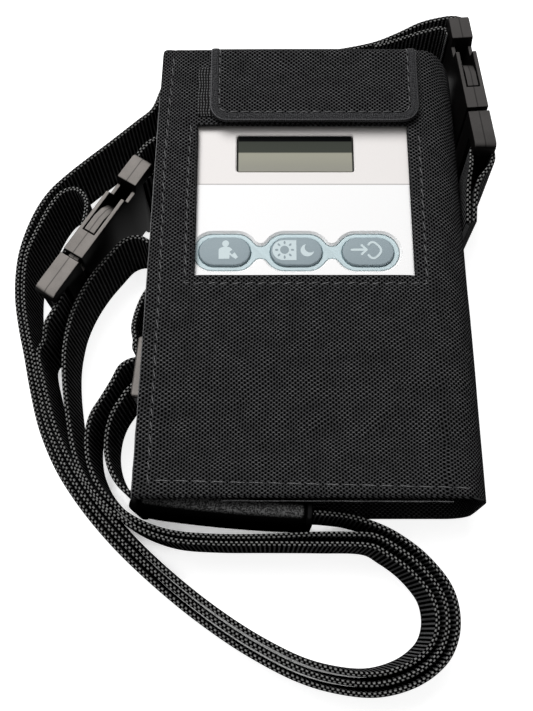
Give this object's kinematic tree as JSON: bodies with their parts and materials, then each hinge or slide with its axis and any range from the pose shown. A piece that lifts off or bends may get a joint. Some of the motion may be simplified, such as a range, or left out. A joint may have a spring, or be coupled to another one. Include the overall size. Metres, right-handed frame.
{
  "type": "ambulatory blood pressure monitor",
  "caption": "Handheld blood pressure recorder with a screen and keypad, in a windowed fabric pouch with a flap, on a long webbing shoulder strap with side-release buckles and a sleeve pad.",
  "frame": {"origin": "centre of the pouch's back, the face that lies on the table", "axes": "+X to the right as the screen is read, +Y to the pouch's mouth with the flap, +Z out of the window, away from the wearer"},
  "size_m": [0.1578, 0.2274, 0.0417],
  "materials": {
    "case_white": "fine satin texture",
    "nylon": "coarse woven nylon",
    "binding": "ribbed edge binding",
    "hook_loop": "hook and loop tape",
    "webbing": "woven webbing with cross ribs",
    "leatherette": "grained coating",
    "buckle": "moulded, semi-gloss",
    "keypad": "matt silicone",
    "key": "matt silicone",
    "lens": "clear, polished",
    "lcd": "polarised",
    "board": "coated laminate",
    "steel": "plain",
    "nickel": "nickel-plated",
    "dark_plastic": "moulded",
    "tube": "smooth",
    "cell": "printed sleeve"
  },
  "bodies": {
    "carrier": {"monitor_front_shell": "case_white", "monitor_back_shell": "case_white", "battery_1": "cell", "battery_2": "cell", "battery_spring_1": "nickel", "battery_spring_2": "nickel", "contact_plate_south": "nickel", "contact_plate_north": "nickel", "lcd_lens": "lens", "lcd_holder": "dark_plastic", "lcd_module": "lcd", "keypad_mat": "keypad", "switch_film": "nickel", "main_board": "board", "case_screw_1": "steel", "case_screw_2": "steel", "case_screw_3": "steel", "case_screw_4": "steel", "pump_motor": "steel", "pump_head": "dark_plastic", "air_manifold": "tube", "pressure_sensor": "dark_plastic", "release_valve": "steel", "cuff_connector": "nickel", "interface_port": "dark_plastic", "pouch_shell": "nylon", "loop_patch": "hook_loop", "flap_neck": "nylon", "left_buckle_socket": "buckle", "left_buckle_plug": "buckle", "right_buckle_socket": "buckle", "right_buckle_plug": "buckle", "strap_strand_1": "webbing", "strap_strand_2": "webbing", "strap_strand_3": "webbing", "left_webbing_stub": "webbing", "right_webbing_stub": "webbing", "shoulder_pad": "leatherette", "pad_rim_right": "leatherette", "pad_rim_left": "leatherette", "strap_adjuster": "buckle"},
    "start_key": {"start_button": "key"},
    "day_night_key": {"day_night_button": "key"},
    "event_key": {"event_button": "key"},
    "switch_slider": {"power_switch": "dark_plastic"},
    "cover": {"battery_cover": "case_white"},
    "rotor": {"pump_rotor": "steel"},
    "plunger": {"valve_plunger": "nickel"},
    "flap": {"pouch_flap": "nylon", "flap_binding": "binding", "hook_patch": "hook_loop"},
    "left_prong_up": {"left_upper_prong": "buckle"},
    "left_prong_low": {"left_lower_prong": "buckle"},
    "right_prong_up": {"right_upper_prong": "buckle"},
    "right_prong_low": {"right_lower_prong": "buckle"}
  },
  "joints": [
    {"name": "start_press", "type": "slide", "parent": "carrier", "child": "start_key", "axis": [0, 0, -1], "range_m": [0, 0.0008], "stiffness_N_per_m": 800, "springref_m": -0.0006},
    {"name": "day_night_press", "type": "slide", "parent": "carrier", "child": "day_night_key", "axis": [0, 0, -1], "range_m": [0, 0.0008], "stiffness_N_per_m": 800, "springref_m": -0.0006},
    {"name": "event_press", "type": "slide", "parent": "carrier", "child": "event_key", "axis": [0, 0, -1], "range_m": [0, 0.0008], "stiffness_N_per_m": 800, "springref_m": -0.0006},
    {"name": "power_slide", "type": "slide", "parent": "carrier", "child": "switch_slider", "axis": [0, 1, 0], "range_m": [0, 0.003]},
    {"name": "cover_slide", "type": "slide", "parent": "carrier", "child": "cover", "axis": [0, -1, 0], "range_m": [0, 0.008]},
    {"name": "pump_spin", "type": "hinge", "parent": "carrier", "child": "rotor", "pos_m": [-0.0035, 0.0105, 0.0127], "axis": [1, 0, 0], "continuous": true},
    {"name": "valve_lift", "type": "slide", "parent": "carrier", "child": "plunger", "axis": [0, 1, 0], "range_m": [0, 0.001], "stiffness_N_per_m": 200, "springref_m": -0.001},
    {"name": "flap_hinge", "type": "hinge", "parent": "carrier", "child": "flap", "pos_m": [0, 0.0686, 0.0376], "axis": [-1, 0, 0], "range_deg": [0, 105]},
    {"name": "left_upper_prong_flex", "type": "hinge", "parent": "carrier", "child": "left_prong_up", "pos_m": [-0.07687, -0.00147, 0.03125], "axis": [-0.853, 0.522, 0], "range_deg": [0, 11], "stiffness_Nm_per_rad": 0.5, "springref_deg": -1.72},
    {"name": "left_lower_prong_flex", "type": "hinge", "parent": "carrier", "child": "left_prong_low", "pos_m": [-0.07687, -0.00147, 0.00475], "axis": [0.853, -0.522, 0], "range_deg": [0, 11], "stiffness_Nm_per_rad": 0.5, "springref_deg": -1.72},
    {"name": "right_upper_prong_flex", "type": "hinge", "parent": "carrier", "child": "right_prong_up", "pos_m": [0.05521, 0.04862, 0.03601], "axis": [-0.9974, -0.072, 0], "range_deg": [0, 11], "stiffness_Nm_per_rad": 0.5, "springref_deg": -1.72},
    {"name": "right_lower_prong_flex", "type": "hinge", "parent": "carrier", "child": "right_prong_low", "pos_m": [0.05542, 0.04572, 0.00967], "axis": [0.9974, 0.072, 0], "range_deg": [0, 11], "stiffness_Nm_per_rad": 0.5, "springref_deg": -1.72}
  ]
}
